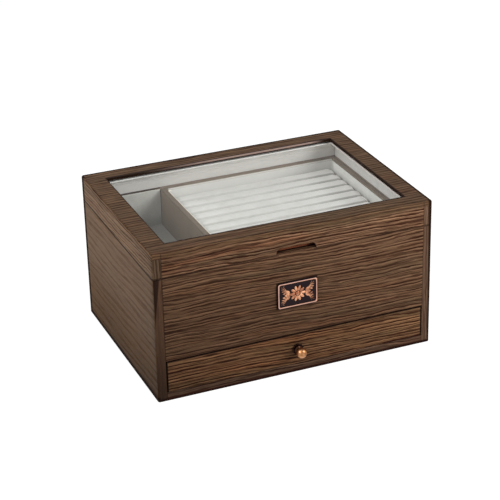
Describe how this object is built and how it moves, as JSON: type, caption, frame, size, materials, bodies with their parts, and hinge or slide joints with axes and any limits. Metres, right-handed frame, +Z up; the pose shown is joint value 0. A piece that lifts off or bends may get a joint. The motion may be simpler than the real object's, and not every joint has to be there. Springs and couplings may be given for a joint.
{
  "type": "ring box with drawer",
  "caption": "Wooden ring box: hinged glass-topped lid over a ring tray with padded rolls and a side tray, and a full-width drawer with a ball knob below.",
  "frame": {"origin": "centre of the base board's underside", "axes": "+Z up, +X along the width, the drawer front faces -Y and the lid is hinged along +Y"},
  "size_m": [0.24, 0.1915, 0.1284],
  "materials": {
    "veneer": "dark oak veneer, satin lacquer, fine open grain",
    "inner_board": "plain stained board, matt",
    "taupe_cloth": "taupe microfibre, matt",
    "flannel": "off-white flannel, matt, short nap",
    "ring_pad": "foam covered with off-white flannel",
    "glass": "clear float glass",
    "copper_relief": "cast plate, dark patina with rubbed copper highlights",
    "knob_brass": "antique brass, rubbed",
    "screw_steel": "plated steel",
    "hinge_brass": "antique brass"
  },
  "bodies": {
    "case": {"back_panel": "veneer", "base_board": "veneer", "case_hinge_leaf_left": "hinge_brass", "case_hinge_leaf_right": "hinge_brass", "case_hinge_screws": "screw_steel", "drawer_bay_shelf": "inner_board", "front_panel": "veneer", "hinge_pin_left": "hinge_brass", "hinge_pin_right": "hinge_brass", "left_side_panel": "veneer", "lower_lining_back": "flannel", "lower_lining_front": "flannel", "lower_lining_left": "flannel", "lower_lining_right": "flannel", "plaque": "copper_relief", "right_side_panel": "veneer", "ring_pad_base": "ring_pad", "ring_roll_01": "ring_pad", "ring_roll_02": "ring_pad", "ring_roll_03": "ring_pad", "ring_roll_04": "ring_pad", "ring_roll_05": "ring_pad", "ring_roll_06": "ring_pad", "ring_roll_07": "ring_pad", "ring_roll_08": "ring_pad", "ring_roll_09": "ring_pad", "ring_roll_10": "ring_pad", "ring_roll_11": "ring_pad", "ring_tray": "taupe_cloth", "ring_tray_lining": "flannel", "shelf_lining": "flannel", "side_tray": "flannel"},
    "lid": {"glass_pane": "glass", "glass_retainer": "flannel", "lid_back_rail": "veneer", "lid_front_rail": "veneer", "lid_hinge_leaf_left": "hinge_brass", "lid_hinge_leaf_right": "hinge_brass", "lid_hinge_screws": "screw_steel", "lid_left_rail": "veneer", "lid_lining_back": "flannel", "lid_lining_front": "flannel", "lid_lining_left": "flannel", "lid_lining_right": "flannel", "lid_right_rail": "veneer", "lid_top_frame": "veneer"},
    "drawer": {"drawer_back": "inner_board", "drawer_bottom": "inner_board", "drawer_front": "veneer", "drawer_knob": "knob_brass", "drawer_left_side": "inner_board", "drawer_lining": "flannel", "drawer_right_side": "inner_board", "knob_rosette": "knob_brass", "knob_screw": "screw_steel"}
  },
  "joints": [
    {"name": "lid_hinge", "type": "hinge", "parent": "case", "child": "lid", "pos_m": [0, 0.08925, 0.1072], "axis": [-1, 0, 0], "range_deg": [0, 95]},
    {"name": "drawer_slide", "type": "slide", "parent": "case", "child": "drawer", "axis": [0, -1, 0], "range_m": [0, 0.11]}
  ]
}
